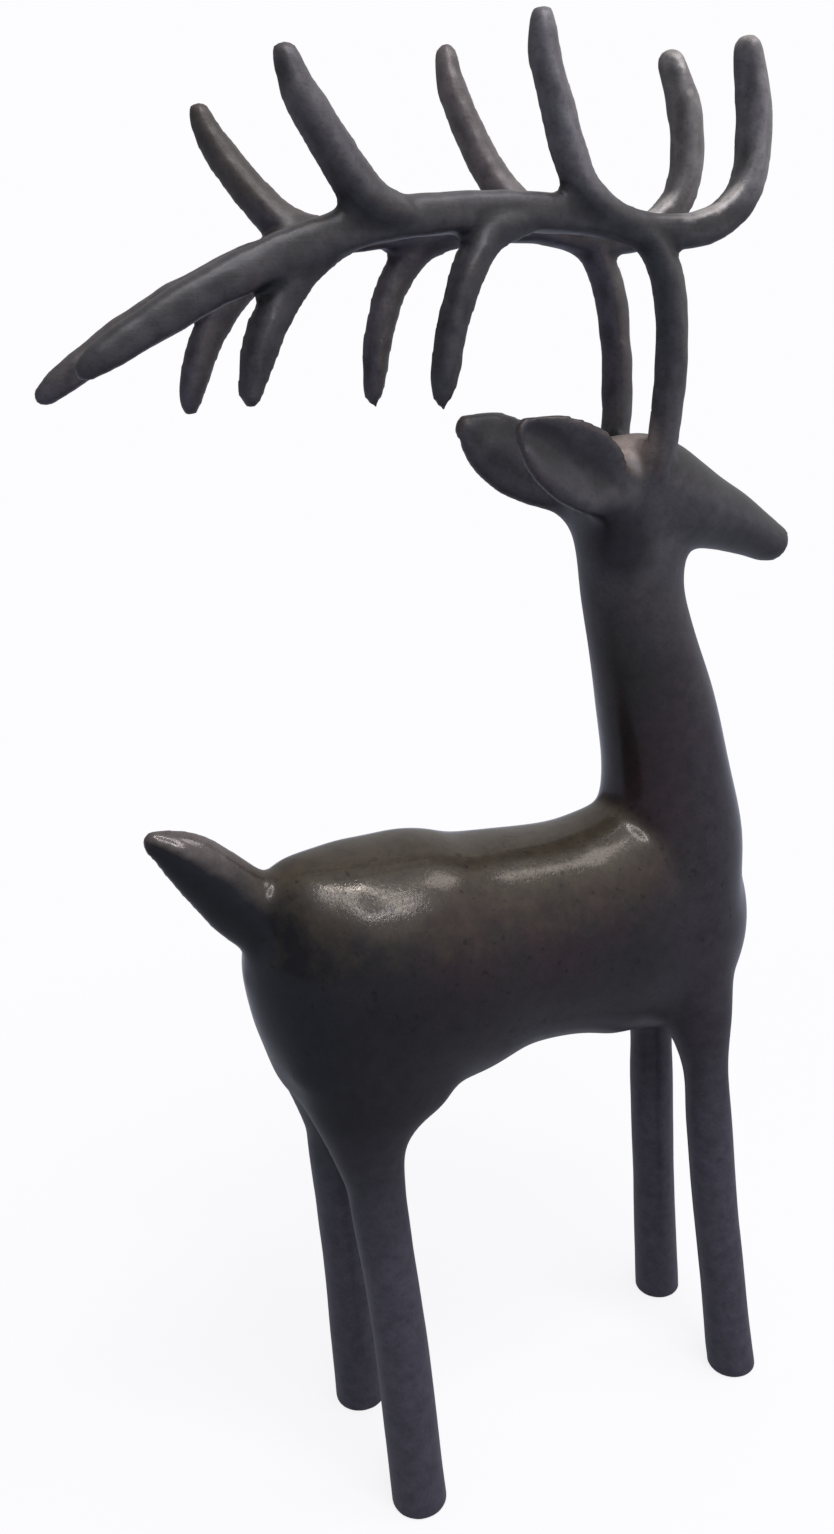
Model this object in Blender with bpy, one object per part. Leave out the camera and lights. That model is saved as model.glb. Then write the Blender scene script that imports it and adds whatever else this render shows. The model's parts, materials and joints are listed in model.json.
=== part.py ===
"""A standing reindeer cast in bronze: one hollow casting on four straight legs, with a tall neck,
leaf-shaped ears swept back, a pointed tail and two antlers whose beams run far back over the body.

Metres, +Z up. The animal faces +X, its right side is at -Y, and it stands on z = 0 with the middle of its
outline over the origin. The body is a free form, so its places are shares of the height, in thousandths,
counted along X from the middle of the four feet. The feet, where it is set down or fixed, have sizes of
their own.
"""

import bmesh
import bpy
import numpy as np

# Driving sizes
HEIGHT = 0.500
WHEELBASE = 0.145
HIND_STANCE = 0.0582
FORE_STANCE = 0.0540
HIND_FOOT_DIAMETER = 0.0206
FORE_FOOT_DIAMETER = 0.0194
EAR_HOLLOW_DEPTH = 0.0028
MUZZLE_CUT_WIDTH = 0.0190
LEFT_BEAM_DROOP = 0.0072
LEFT_TINE_LIFT = 0.004
LEFT_HOOK_LIFT = 0.0012

# Thousandths of the height
MILLE = HEIGHT / 1000

# The middle of the feet, ahead of the middle of the whole length because the antlers reach so far back
FEET_AHEAD = 45 * MILLE

# The hollow of an ear: where its deepest line lies, as a share of the half width from the middle towards
# the top rim, and how high that rim stands, as a share of the half thickness
HOLLOW_LINE = 0.10
HOLLOW_RIM = 0.35

# The antlers' rods, and a little the tail, were pinched to four soft ridges. One ridge of a rod faces the
# way given here, and the others are square to it.
ANTLER_PINCH = 0.17
TAIL_PINCH = 0.07
ROD_RIDGE = (0.27, 0.96, 0.0)
BEAM_RIDGE = (-0.25, -0.68, 0.68)

# How finely the casting is faceted
GRAIN = 3.2 * MILLE
SURFACE_PASSES = 3
BODY_PASSES = 70
FACET_SHARE = 0.053
RING_POINTS = 20
CAP_RINGS = 4

# Patinated bronze: dark brown, half polished
BRONZE_COLOUR = (0.045, 0.036, 0.030, 1.0)
BRONZE_ROUGHNESS = 0.38

SIDES = {"right": -1.0, "left": 1.0}


def clear_scene():
    for old in list(bpy.data.objects):
        bpy.data.objects.remove(old, do_unlink=True)


def smooth_rows(stations, steps):
    """Rows through the stations. A row holds a place and two half sizes.

    Each span is the cubic whose slope at a station is half the step from the station before it to the
    station after it.
    """
    rows = np.array(stations, float)
    padded = np.vstack([2 * rows[0] - rows[1], rows, 2 * rows[-1] - rows[-2]])
    t = np.linspace(0, 1, steps, endpoint=False)[:, None]
    spans = []
    for before, start, end, after in zip(padded, padded[1:], padded[2:], padded[3:]):
        spans.append(
            0.5
            * (
                2 * start
                + (end - before) * t
                + (2 * before - 5 * start + 4 * end - after) * t**2
                + (3 * start - before - 3 * end + after) * t**3
            )
        )
    return np.vstack(spans + [rows[-1:]])


def unit(vectors):
    return vectors / np.linalg.norm(vectors, axis=-1, keepdims=True)


def sweep(
    bm, stations, across=(0, 1, 0), steps=4, round_start=0.9, round_end=0.9, dish=0.0, top=1, pinch=0.0
):
    """Adds one closed form to bm: an ellipse carried along a smooth path.

    A station is (x, y, z, half size along `across`, half size at right angles to it), in metres.
    A rounded end bulges by a share of the smaller half size there, and a share of 0 leaves it flat.
    `dish` is how deep one face is hollowed below the form's side edges. The hollow has a short steep slope
    on the side that `top` names, a long flat one on the other, and fades out towards both ends.
    `pinch` draws the section in between the four ends of its two axes, by that share.
    """
    rows = smooth_rows(stations, steps)
    places, halves = rows[:, :3], rows[:, 3:]
    ahead = unit(np.gradient(places, axis=0))
    side = unit(np.array(across) - (ahead @ np.array(across))[:, None] * ahead)
    normal = np.cross(side, ahead)

    rings = [(p, s, n, h, dish > 0) for p, s, n, h in zip(places, side, normal, halves)]
    for share, end, direction in ((round_start, 0, -1), (round_end, -1, 1)):
        bulge = share * halves[end].min()
        cap = []
        for turn in np.linspace(0, np.pi / 2, CAP_RINGS + 1)[1:-1] if bulge else ():
            place = places[end] + direction * ahead[end] * bulge * np.sin(turn)
            cap.append((place, side[end], normal[end], halves[end] * np.cos(turn), False))
        rings = rings + cap if direction > 0 else cap[::-1] + rings

    around = np.linspace(0, 2 * np.pi, RING_POINTS, endpoint=False)
    draw_in = 1 - pinch * np.sin(2 * around) ** 2
    height = top * np.cos(around)
    under_rim = height > HOLLOW_LINE
    reach = np.where(under_rim, 1 - HOLLOW_LINE, 1 + HOLLOW_LINE)
    rim = np.where(under_rim, HOLLOW_RIM, 1.0)
    loops = []
    for index, (place, s, n, half, dished) in enumerate(rings):
        fade = max(0.0, np.sin(np.pi * index / (len(rings) - 1))) ** 0.5 if dished else 0.0
        full = half[1] * np.sin(around) * draw_in
        slopes = (half[1] * rim + dish) * np.abs(height - HOLLOW_LINE) / reach - dish
        hollow = np.where(np.sin(around) > 0, np.minimum(full, slopes), full)
        points = place + np.outer(half[0] * np.cos(around) * draw_in, s)
        points = points + np.outer(full + (hollow - full) * fade, n)
        loops.append([bm.verts.new(point) for point in points])

    for lower, upper in zip(loops, loops[1:]):
        for k in range(RING_POINTS):
            j = (k + 1) % RING_POINTS
            bm.faces.new((lower[k], lower[j], upper[j], upper[k]))
    for loop, end, direction, share in ((loops[0], 0, -1, round_start), (loops[-1], -1, 1, round_end)):
        pole = places[end] + direction * ahead[end] * share * halves[end].min()
        tip = bm.verts.new(pole)
        for k in range(RING_POINTS):
            bm.faces.new((loop[k], tip, loop[(k + 1) % RING_POINTS]))


def in_middle(rows):
    """Stations on the middle plane, from rows of (x, z, half width, half depth) in thousandths."""
    return [(FEET_AHEAD + x * MILLE, 0.0, z * MILLE, w * MILLE, d * MILLE) for x, z, w, d in rows]


def to_side(sign, rows):
    """Stations on one side, from rows of (x, distance from the middle, z, half sizes) in thousandths.

    A round station has one half size.
    """
    return [
        (FEET_AHEAD + x * MILLE, sign * y * MILLE, z * MILLE, halves[0] * MILLE, halves[-1] * MILLE)
        for x, y, z, *halves in rows
    ]


def above_foot(x, y, rows):
    """Stations of a leg over the middle of its foot, from rows of (back, inwards, z, half size)."""
    inwards = -np.sign(y)
    return [
        (x - back * MILLE, y + inwards * across * MILLE, z * MILLE, a * MILLE, a * MILLE)
        for back, across, z, a in rows
    ]


def add_leg(bm, sign, top, shaft, x, stance, diameter):
    """A leg from inside the body down its shaft, and on past the ground, where it is cut flat."""
    y = sign * stance / 2
    foot = diameter / 2
    shaft = above_foot(x, y, shaft)
    last_x, last_y, last_z = shaft[-1][:3]
    past = foot / last_z
    below = (x + (x - last_x) * past, y + (y - last_y) * past, -foot, foot, foot)
    sweep(bm, to_side(sign, top) + shaft + [(x, y, 0.0, foot, foot), below], round_end=0.0)


def add_trunk(bm):
    """Rump, barrel and chest: deep at the rump, waisted behind the ribs, tilted down to the withers."""
    sweep(
        bm,
        in_middle(
            [
                (-204, 445, 37, 53),
                (-191, 443, 51, 66.5),
                (-170, 435, 65, 79),
                (-130, 419.5, 75, 92.5),
                (-81, 409, 75.5, 93.5),
                (-30, 410.7, 69, 83.1),
                (20, 407.2, 65, 83),
                (70, 403, 61, 94),
                (104, 391, 57, 85),
                (128, 384, 54, 75),
                (146, 378, 46, 64),
            ]
        ),
        round_start=0.35,
        round_end=0.5,
    )


def add_haunches(bm):
    """The egg of the hindquarters, which arches over the gap between the thighs."""
    sweep(
        bm,
        in_middle(
            [
                (-151, 430, 67, 74),
                (-149.5, 388, 68, 69.5),
                (-149, 362, 64, 62.5),
                (-146.5, 340, 57, 56),
                (-147, 320, 49, 46.5),
                (-151, 303, 41, 36),
            ]
        ),
        round_end=0.4,
    )


def add_neck(bm):
    """The neck rises out of the chest, leans back a little and thins towards the jaw."""
    sweep(
        bm,
        in_middle(
            [
                (118, 352, 45, 56),
                (117, 388, 57, 60.5),
                (115, 422, 58, 54),
                (115.5, 466, 54.5, 55),
                (110.5, 522, 47.5, 46.5),
                (101, 570, 43, 44),
                (90, 616, 40, 38.5),
                (81.5, 654, 37, 36.5),
                (81.3, 684, 35, 40.6),
                (77.5, 706, 33, 40),
            ]
        ),
        round_start=0.4,
    )


def add_head(bm):
    """A wedge from the back of the skull down to a muzzle that is cut off flat."""
    cut = MUZZLE_CUT_WIDTH / 2 / MILLE
    sweep(
        bm,
        in_middle(
            [
                (60, 725, 30, 34),
                (90, 722, 38, 38),
                (118, 711, 38, 33.3),
                (142, 702, 33, 26.8),
                (164, 693, 28, 22),
                (184, 683, 23.5, 17.8),
                (196, 676.5, 21, 15.6),
                (205, 673, cut, 13.6),
            ]
        ),
        round_end=0.0,
    )


def add_ear(bm, sign):
    """A leaf swept back and up along the head, hollowed on its outer face."""
    sweep(
        bm,
        to_side(
            sign,
            [
                (50, 27, 721, 18, 15),
                (34, 36, 733.5, 26, 13.5),
                (13, 41.5, 747, 27.5, 12),
                (-9.5, 42.5, 761.5, 21, 10),
                (-25, 41.5, 771, 9, 6.5),
            ],
        ),
        across=(-0.40 * sign, -0.12, -0.90 * sign),
        dish=EAR_HOLLOW_DEPTH,
        top=-sign,
    )


def add_ear_root(bm, sign):
    """A strip under the ear, which fills the nook between its lower edge and the neck."""
    sweep(
        bm,
        to_side(
            sign,
            [
                (84, 17, 652, 10),
                (70, 17.5, 682, 13),
                (56, 20, 704, 13.5),
                (40, 27, 722, 11.5),
            ],
        ),
    )


def add_tail(bm):
    """A short thick tail that points back and up."""
    sweep(
        bm,
        in_middle(
            [
                (-181.5, 452, 22, 26),
                (-210.2, 470.8, 21, 26.7),
                (-236, 501.5, 18, 23.3),
                (-258, 523.5, 13, 16.5),
                (-275, 536, 6, 8),
            ]
        ),
        pinch=TAIL_PINCH,
    )


def add_hind_leg(bm, sign):
    """The thigh tapers out of the rump into a straight leg that splays outwards a little."""
    thigh = [
        (-144, 26, 420, 44, 62),
        (-145, 28, 366, 41, 64),
        (-148, 30, 343, 39, 61.8),
        (-154.8, 33, 323, 34, 46),
        (-158.5, 38, 299, 26, 28.5),
        (-156.5, 42, 272, 20.5, 21.5),
    ]
    shaft = [
        (11, 13.2, 245, 19.8),
        (5, 6.5, 150, 19.4),
    ]
    x = FEET_AHEAD - WHEELBASE / 2
    add_leg(bm, sign, thigh, shaft, x, HIND_STANCE, HIND_FOOT_DIAMETER)


def add_fore_leg(bm, sign):
    """A straight leg under the chest, splayed outwards a little."""
    shoulder = [
        (119, 26, 370, 28, 34),
        (121.5, 33, 320, 26, 26.5),
        (126, 37.2, 275, 18.3, 17.5),
    ]
    shaft = [
        (16.5, 13.6, 220, 18),
        (9, 7.4, 110, 18),
    ]
    x = FEET_AHEAD + WHEELBASE / 2
    add_leg(bm, sign, shoulder, shaft, x, FORE_STANCE, FORE_FOOT_DIAMETER)


def add_antler(bm, sign):
    """A post on the crown that sweeps back into the beam, a hook in front, two tines up and two down."""
    post = [
        (82, 28.5, 735, 11.2),
        (88.2, 29.5, 763, 11.2),
        (91, 32, 800, 11.4),
        (90, 34, 830, 11.4),
        (85.4, 35, 857, 11.4),
        (72, 35, 880, 10.8),
        (50, 35, 890, 10.8),
        (15, 36, 895, 11),
    ]
    beam = [
        (140, 40, 987.5, 10.4),
        (147, 37, 967, 12.2),
        (150, 35.8, 945, 12.2),
        (148.5, 35.4, 922, 12),
        (138.5, 35.6, 901, 12.2),
        (114, 35, 887, 12.8),
        (76, 34, 885, 12.2),
        (30, 35.5, 893.5, 12.2),
        (-40, 46, 896, 13.3),
        (-110, 56, 891.5, 13.3),
        (-160, 62, 880.5, 13.2),
        (-210, 66, 863, 12.8),
        (-250, 68, 844.5, 11.9),
        (-281, 69, 828, 10),
        (-294, 70, 820.5, 7.2),
    ]
    upper_rear = [
        (-177.5, 80, 966, 7.4),
        (-170, 79, 948, 10.3),
        (-156, 76, 929, 11.6),
        (-142, 71, 911, 12.6),
        (-128, 66, 898.5, 13.4),
        (-100, 57, 892, 10),
    ]
    upper_front = [
        (-17.6, 61.5, 993.5, 7.9),
        (-15.4, 59.5, 977, 10),
        (-7.2, 56.5, 954, 10.6),
        (3.8, 51.5, 930, 11.2),
        (18.6, 44, 908, 11.7),
        (40, 39, 895, 10.4),
        (66, 36, 887, 9.6),
    ]
    lower_rear = [
        (-205.3, 65, 801.5, 6.6),
        (-201.4, 64.5, 817, 9.8),
        (-194, 63.5, 834, 10.8),
        (-183.8, 62, 850, 11.2),
        (-167, 60.5, 868, 10.8),
        (-141, 58, 883, 9.5),
    ]
    lower_front = [
        (-85, 52.3, 789, 3.2),
        (-84.2, 52.6, 797, 7),
        (-81.6, 53.5, 813, 9.3),
        (-77.6, 54.5, 832, 10),
        (-71.4, 55, 850, 10.4),
        (-62.5, 54, 868, 11.2),
        (-46, 50.5, 885.5, 11.6),
        (-15, 45, 893, 9),
    ]
    tines = (post, upper_rear, upper_front, lower_rear, lower_front)
    for rows, ridge in ((beam, BEAM_RIDGE), *((tine, ROD_RIDGE) for tine in tines)):
        if sign == SIDES["left"]:
            rows = [(x, y, z + left_bend(x, z), radius) for x, y, z, radius in rows]
        sweep(bm, to_side(sign, rows), across=ridge, pinch=ANTLER_PINCH)


def left_bend(x, z):
    """How much higher the left antler is at (x, z), in thousandths, because it was bent by hand.

    Its beam droops at the back, its front tines stand taller, and its hook sits a little higher.
    """
    beam_foot, beam_level, above_beam, tine_tips = 870, 900, 950, 988
    beam_end, droop_start = -295, -110
    rear_tines, front_tines = -100, 20
    hook_start, hook_end = 55, 115
    droop_curve = 1.3
    along = np.clip((x - droop_start) / (beam_end - droop_start), 0, 1) ** droop_curve
    on_beam = 1 - ramp(z, beam_level, above_beam)
    up_tine = np.clip((z - beam_foot) / (tine_tips - beam_foot), 0, 1)
    ahead = np.clip((x - rear_tines) / (front_tines - rear_tines), 0, 1)
    in_front = np.clip((x - hook_start) / (hook_end - hook_start), 0, 1)
    lift = LEFT_TINE_LIFT * up_tine * ahead + LEFT_HOOK_LIFT * in_front * on_beam
    return (lift - LEFT_BEAM_DROOP * along * on_beam) / MILLE


def bronze():
    material = bpy.data.materials.new("patinated bronze")
    material.use_nodes = True
    shader = material.node_tree.nodes["Principled BSDF"]
    shader.inputs["Base Color"].default_value = BRONZE_COLOUR
    shader.inputs["Metallic"].default_value = 1.0
    shader.inputs["Roughness"].default_value = BRONZE_ROUGHNESS
    return material


def ground_cutter():
    """A block below z = 0 that takes the soles off flat."""
    bm = bmesh.new()
    bmesh.ops.create_cube(bm, size=1.0)
    deep = 2 * max(HIND_FOOT_DIAMETER, FORE_FOOT_DIAMETER)
    long = 2 * (WHEELBASE + HIND_FOOT_DIAMETER + FORE_FOOT_DIAMETER)
    wide = 2 * (max(HIND_STANCE, FORE_STANCE) + HIND_FOOT_DIAMETER + FORE_FOOT_DIAMETER)
    bmesh.ops.scale(bm, vec=(long, wide, deep), verts=bm.verts)
    bmesh.ops.translate(bm, vec=(FEET_AHEAD, 0, -deep / 2), verts=bm.verts)
    mesh = bpy.data.meshes.new("ground cutter")
    bm.to_mesh(mesh)
    bm.free()
    cutter = bpy.data.objects.new("ground cutter", mesh)
    bpy.context.scene.collection.objects.link(cutter)
    cutter.hide_render = True
    cutter.display_type = "WIRE"
    return cutter


def ramp(values, low, high):
    """0 at low and before it, 1 at high and past it, and an S-curve between."""
    t = np.clip((values - low) / (high - low), 0, 1)
    return t * t * (3 - 2 * t)


def one_skin(bm):
    """The forms fused into one skin of small squares, as a new mesh."""
    mesh = bpy.data.meshes.new("forms")
    bm.to_mesh(mesh)
    forms = bpy.data.objects.new("forms", mesh)
    bpy.context.scene.collection.objects.link(forms)
    fuse = forms.modifiers.new("fuse", "REMESH")
    fuse.mode = "VOXEL"
    fuse.voxel_size = GRAIN
    fuse.adaptivity = 0.0
    fuse.use_smooth_shade = True
    bpy.context.view_layer.update()
    fused = forms.evaluated_get(bpy.context.evaluated_depsgraph_get())
    skin = bpy.data.meshes.new_from_object(fused)
    skin.name = "reindeer"
    bpy.data.objects.remove(forms, do_unlink=True)
    bpy.data.meshes.remove(mesh)
    return skin


def body_share(points):
    """How much a point belongs to the big soft forms, and not to a leg, the tail, the head or an antler."""
    x, z = (points[:, 0] - FEET_AHEAD) / MILLE, points[:, 2] / MILLE
    legs_end, hips = 240, 310
    throat, crown = 698, 745
    under_jaw, jaw = 580, 630
    chest_front, mid_muzzle = 140, 170
    rump_end, mid_tail = -214, -244
    above_legs = ramp(z, legs_end, hips)
    below_head = 1 - ramp(z, throat, crown)
    off_muzzle = 1 - ramp(z, under_jaw, jaw) * ramp(x, chest_front, mid_muzzle)
    off_tail = 1 - ramp(x, rump_end, mid_tail)
    return above_legs * below_head * off_muzzle * off_tail


def cast_reindeer():
    """All forms fused, softened where they meet, thinned to facets and cut flat at the soles."""
    bm = bmesh.new()
    add_trunk(bm)
    add_haunches(bm)
    add_neck(bm)
    add_head(bm)
    add_tail(bm)
    for sign in SIDES.values():
        add_ear(bm, sign)
        add_ear_root(bm, sign)
        add_hind_leg(bm, sign)
        add_fore_leg(bm, sign)
        add_antler(bm, sign)
    bmesh.ops.recalc_face_normals(bm, faces=bm.faces)
    skin = one_skin(bm)
    bm.free()
    skin.materials.append(bronze())
    statue = bpy.data.objects.new("reindeer", skin)
    bpy.context.scene.collection.objects.link(statue)

    body = statue.vertex_groups.new(name="body")
    points = np.empty(len(skin.vertices) * 3, np.float32)
    skin.vertices.foreach_get("co", points)
    for index, share in enumerate(body_share(points.reshape(-1, 3))):
        if share > 0:
            body.add([index], float(share), "REPLACE")

    blend = statue.modifiers.new("blend the body", "SMOOTH")
    blend.factor = 0.5
    blend.iterations = BODY_PASSES
    blend.vertex_group = body.name
    soften = statue.modifiers.new("soften", "SMOOTH")
    soften.factor = 0.5
    soften.iterations = SURFACE_PASSES
    facet = statue.modifiers.new("facet", "DECIMATE")
    facet.ratio = FACET_SHARE
    trim = statue.modifiers.new("trim soles", "BOOLEAN")
    trim.operation = "DIFFERENCE"
    trim.object = ground_cutter()
    return statue


clear_scene()
cast_reindeer()
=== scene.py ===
# %% [markdown]
# A reindeer in cast bronze, about half a metre tall. The real one was made in wax, with rolled rods for the
# legs and antlers and soft egg shapes for the body, and all of it was pressed together before it was cast.
# So it is one piece of metal with no joints, and what the eye reads is its outline, the soft fillets where
# one form runs into the next, and a dark waxed patina.
#
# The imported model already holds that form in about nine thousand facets. Here the same forms are made again
# as finer surfaces, fused the same way, and given the relief and the finish that facets can't carry.

import math

import bmesh
import bpy
import numpy as np
from mathutils import Matrix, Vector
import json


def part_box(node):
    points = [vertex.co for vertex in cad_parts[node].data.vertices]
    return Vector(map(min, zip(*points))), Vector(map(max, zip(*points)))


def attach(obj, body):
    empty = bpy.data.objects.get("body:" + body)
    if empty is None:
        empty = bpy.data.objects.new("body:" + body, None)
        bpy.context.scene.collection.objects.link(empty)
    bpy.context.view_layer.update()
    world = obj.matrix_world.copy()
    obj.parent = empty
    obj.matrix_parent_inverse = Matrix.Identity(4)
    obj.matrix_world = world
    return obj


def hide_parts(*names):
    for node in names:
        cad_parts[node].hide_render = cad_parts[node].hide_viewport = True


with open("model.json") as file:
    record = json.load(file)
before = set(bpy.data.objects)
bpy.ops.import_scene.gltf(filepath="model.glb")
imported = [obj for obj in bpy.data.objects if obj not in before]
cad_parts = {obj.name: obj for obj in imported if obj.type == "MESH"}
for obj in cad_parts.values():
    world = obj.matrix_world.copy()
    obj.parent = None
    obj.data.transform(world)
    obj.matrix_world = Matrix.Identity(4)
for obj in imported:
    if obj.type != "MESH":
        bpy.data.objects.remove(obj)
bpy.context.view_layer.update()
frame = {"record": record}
casting_low, casting_high = (np.array(corner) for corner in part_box("reindeer"))
print("casting from", casting_low.round(4), "to", casting_high.round(4))

# %% [markdown]
# The soles are the only places that were cut true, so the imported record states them, and everything else is
# placed from the middle of the four feet. The body is a free form: a place on it is a share of the height,
# in thousandths, so that a row of numbers below can be read against the photograph like a drawing.

# %% Sizes
HEIGHT = 0.500
MILLE = HEIGHT / 1000
HIND_FOOT_DIAMETER = 0.0206
FORE_FOOT_DIAMETER = 0.0194
SIDES = {"right": -1.0, "left": 1.0}

soles = {mount["name"]: np.array(mount["pos_m"]) for mount in frame["record"]["mounts"]}
feet_ahead = float(np.mean([sole[0] for sole in soles.values()]))
print("feet are", round(feet_ahead * 1000, 1), "mm ahead of the middle of the outline")


def unit(vectors):
    """Vectors of length 1 in the same directions."""
    return vectors / np.linalg.norm(vectors, axis=-1, keepdims=True)


def ramp(values, low, high):
    """0 at low and before it, 1 at high and past it, and an S-curve between: 3t^2 - 2t^3."""
    t = np.clip((values - low) / (high - low), 0, 1)
    return t * t * (3 - 2 * t)


# %% [markdown]
# Every form on this animal is a section carried along a bent line: a sausage, an egg or a rod. A few stations
# give the line, each with its place and the half sizes of the section there. A curve that passes through
# all of them keeps the numbers readable, because each row is a place on the animal, and a curve that only
# leans towards its points would not.

# %% A smooth line through stations
STEPS_PER_SPAN = 6


def smooth_line(stations):
    """Rows through the stations. Each span is the cubic whose slope at a station is half the step from the
    station before it to the station after it."""
    rows = np.array(stations, float)
    padded = np.vstack([2 * rows[0] - rows[1], rows, 2 * rows[-1] - rows[-2]])
    t = np.linspace(0, 1, STEPS_PER_SPAN, endpoint=False)[None, :, None]
    before, start, end, after = (padded[k:len(padded) - 3 + k][:, None, :] for k in range(4))
    spans = start + 0.5 * t * (
        end - before
        + t * (2 * before - 5 * start + 4 * end - after + t * (3 * (start - end) + after - before))
    )
    return np.vstack([spans.reshape(-1, rows.shape[1]), rows[-1:]])


print("three stations give", len(smooth_line([(0, 0), (1, 0), (1, 1)])), "rows")

# %% [markdown]
# A ring of points is set square to the line at each row, and the rings are joined into a tube. Both of its
# ends are closed by a fan of triangles to one point, the pole, so that no form is open when they are fused.

# %% Faces of a closed tube
RING_POINTS = 28


def tube_faces(count):
    """Squares between each ring and the next, and a fan from either end ring to its pole. Points are
    numbered ring by ring, and the two poles come last."""
    here = np.arange(count * RING_POINTS).reshape(count, RING_POINTS)
    beside = np.roll(here, -1, axis=1)
    walls = np.stack([here[:-1], here[1:], beside[1:], beside[:-1]], -1).reshape(-1, 4).tolist()
    poles = count * RING_POINTS, count * RING_POINTS + 1
    start_fan = [(poles[0], a, b) for a, b in zip(here[0].tolist(), beside[0].tolist())]
    end_fan = [(poles[1], b, a) for a, b in zip(here[-1].tolist(), beside[-1].tolist())]
    return walls + start_fan + end_fan


print("two rings give", len(tube_faces(2)), "faces")

# %% [markdown]
# The section is an ellipse, or a slightly pinched one whose four sides are flatter, as on wax rods that were
# rolled between fingers: those give the soft ridges along the antlers. The ears are the same form with one
# side pressed in, so the hollow is a part of the section too, and it fades out towards both ends.

# %% A section carried along a line
DOME_RINGS = 5
HOLLOW_LINE = 0.10
HOLLOW_RIM = 0.35


def pressed_in(upwards, halves, around, depth, top, fade):
    """The upper side of each ring, pressed in like a groove with two slopes: from the line where it is
    deepest, a short steep one rises to the rim on the side that `top` names, and a long flat one to the
    other rim. `fade` is the share of it at each ring."""
    height = top * np.cos(around)
    under_rim = height > HOLLOW_LINE
    reach = np.where(under_rim, 1 - HOLLOW_LINE, 1 + HOLLOW_LINE)
    edge = halves[:, 1:] * np.where(under_rim, HOLLOW_RIM, 1.0)
    slopes = (edge + depth) * np.abs(height - HOLLOW_LINE) / reach - depth
    hollow = np.where(np.sin(around) > 0, np.minimum(upwards, slopes), upwards)
    return upwards + (hollow - upwards) * fade[:, None]


def carried(stations, across=(0, 1, 0), round_start=0.9, round_end=0.9, dish=0.0, top=1, pinch=0.0):
    """Points and faces of one closed form.

    A station is (x, y, z, half size along `across`, half size square to it). A ring point at angle a is
    centre + half * cos(a) * across + half * sin(a) * normal, and `pinch` draws it in between the four
    ends of the section by that share. The dome at an end is a quarter of an ellipse that sticks out by that
    share of the half size. `dish` is the depth of a hollow on the side that the normal points to.
    """
    rows = smooth_line(stations)
    places, halves = rows[:, :3], rows[:, 3:]
    ahead = unit(np.gradient(places, axis=0))
    side = unit(np.array(across) - (ahead @ np.array(across))[:, None] * ahead)
    normal = np.cross(side, ahead)

    lift = np.linspace(0, np.pi / 2, DOME_RINGS + 1)[1:-1, None]
    domes = []
    for share, end, direction in ((round_start, 0, -1), (round_end, -1, 1)):
        bulge = direction * share * halves[end].min() * ahead[end]
        turn = lift if share else lift[:0]
        domes.append((places[end] + np.sin(turn) * bulge, np.cos(turn) * halves[end], places[end] + bulge))
    (first_places, first_halves, first_pole), (last_places, last_halves, last_pole) = domes

    places = np.vstack([first_places[::-1], places, last_places])
    halves = np.vstack([first_halves[::-1], halves, last_halves])
    on_line = np.arange(len(places)) - len(first_places)
    nearest_row = np.clip(on_line, 0, len(rows) - 1)
    side, normal = side[nearest_row], normal[nearest_row]

    around = np.linspace(0, 2 * np.pi, RING_POINTS, endpoint=False)
    draw_in = 1 - pinch * np.sin(2 * around) ** 2
    outwards = halves[:, :1] * np.cos(around) * draw_in
    upwards = halves[:, 1:] * np.sin(around) * draw_in
    if dish:
        fade = (on_line == nearest_row) * np.clip(np.sin(np.linspace(0, np.pi, len(places))), 0, None) ** 0.5
        upwards = pressed_in(upwards, halves, around, dish, top, fade)
    rings = places[:, None] + outwards[..., None] * side[:, None] + upwards[..., None] * normal[:, None]
    return np.vstack([rings.reshape(-1, 3), first_pole, last_pole]), tube_faces(len(rings))


rod_points, rod_faces = carried([(0, 0, 0, 1, 1), (4, 0, 0, 1, 1)])
print("a plain rod has", len(rod_points), "points and", len(rod_faces), "faces")

# %% [markdown]
# Two short functions turn rows in thousandths of the height into stations in metres: one for forms on the
# middle plane, and one for those on the left or the right.

# %% From thousandths to metres


def in_middle(rows):
    """Stations on the middle plane, from rows of (x, z, half width, half depth) in thousandths."""
    return [(feet_ahead + x * MILLE, 0.0, z * MILLE, w * MILLE, d * MILLE) for x, z, w, d in rows]


def to_side(sign, rows):
    """Stations on one side, from rows of (x, distance from the middle, z, one or two half sizes)."""
    return [
        (feet_ahead + x * MILLE, sign * y * MILLE, z * MILLE, halves[0] * MILLE, halves[-1] * MILLE)
        for x, y, z, *halves in rows
    ]


print("a thousandth is", MILLE * 1000, "mm")

# %% [markdown]
# The trunk is one long egg, deepest over the hind legs and again at the chest, with a second egg under the
# rump that the thighs grow from. The neck is a cone that leans back a little, and the head is a wedge with
# its muzzle cut off flat. No eye, nostril or mouth is modelled, because the real one has none either: the
# face is all outline.

# %% Trunk, haunches, neck and head
MUZZLE_CUT_WIDTH = 0.0190
muzzle_half = MUZZLE_CUT_WIDTH / 2 / MILLE

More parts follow.
